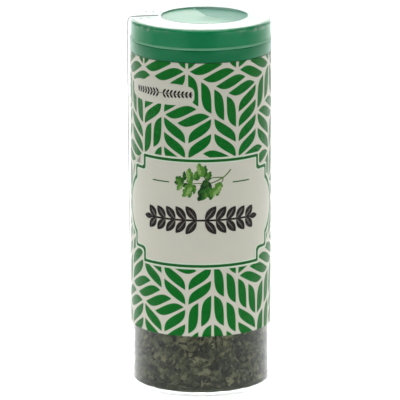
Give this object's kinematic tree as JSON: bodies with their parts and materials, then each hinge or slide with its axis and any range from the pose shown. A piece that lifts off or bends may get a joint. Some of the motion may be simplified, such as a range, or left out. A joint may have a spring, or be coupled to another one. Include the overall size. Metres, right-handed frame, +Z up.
{
  "type": "dried herb shaker tube",
  "caption": "Clear plastic tube of dried parsley with a wrap label, a two-part rotary sifter closure and a clear shrink film over it all.",
  "frame": {"origin": "centre of the foot ring's plane, under the tube", "axes": "+Z up the tube's axis towards the dial; -Y faces out of the front of the label; +X to its right"},
  "size_m": [0.0418, 0.0404, 0.1065],
  "materials": {
    "clear_tube": "clear moulded polystyrene, glossy",
    "green_closure": "moulded polypropylene, satin gloss",
    "printed_label": "printed paper, varnished",
    "clear_film": "clear shrink film, glossy, slightly wrinkled",
    "dried_parsley": "matt dried leaf flakes"
  },
  "bodies": {
    "jar": {"clear_tube": "clear_tube", "sifter_base": "green_closure", "printed_label": "printed_label", "shrink_film": "clear_film", "dried_parsley": "dried_parsley"},
    "dial": {"dial": "green_closure"}
  },
  "joints": [
    {"name": "dial_turn", "type": "hinge", "parent": "jar", "child": "dial", "pos_m": [0, 0, 0.1035], "axis": [0, 0, 1], "range_deg": [0, 180]}
  ]
}
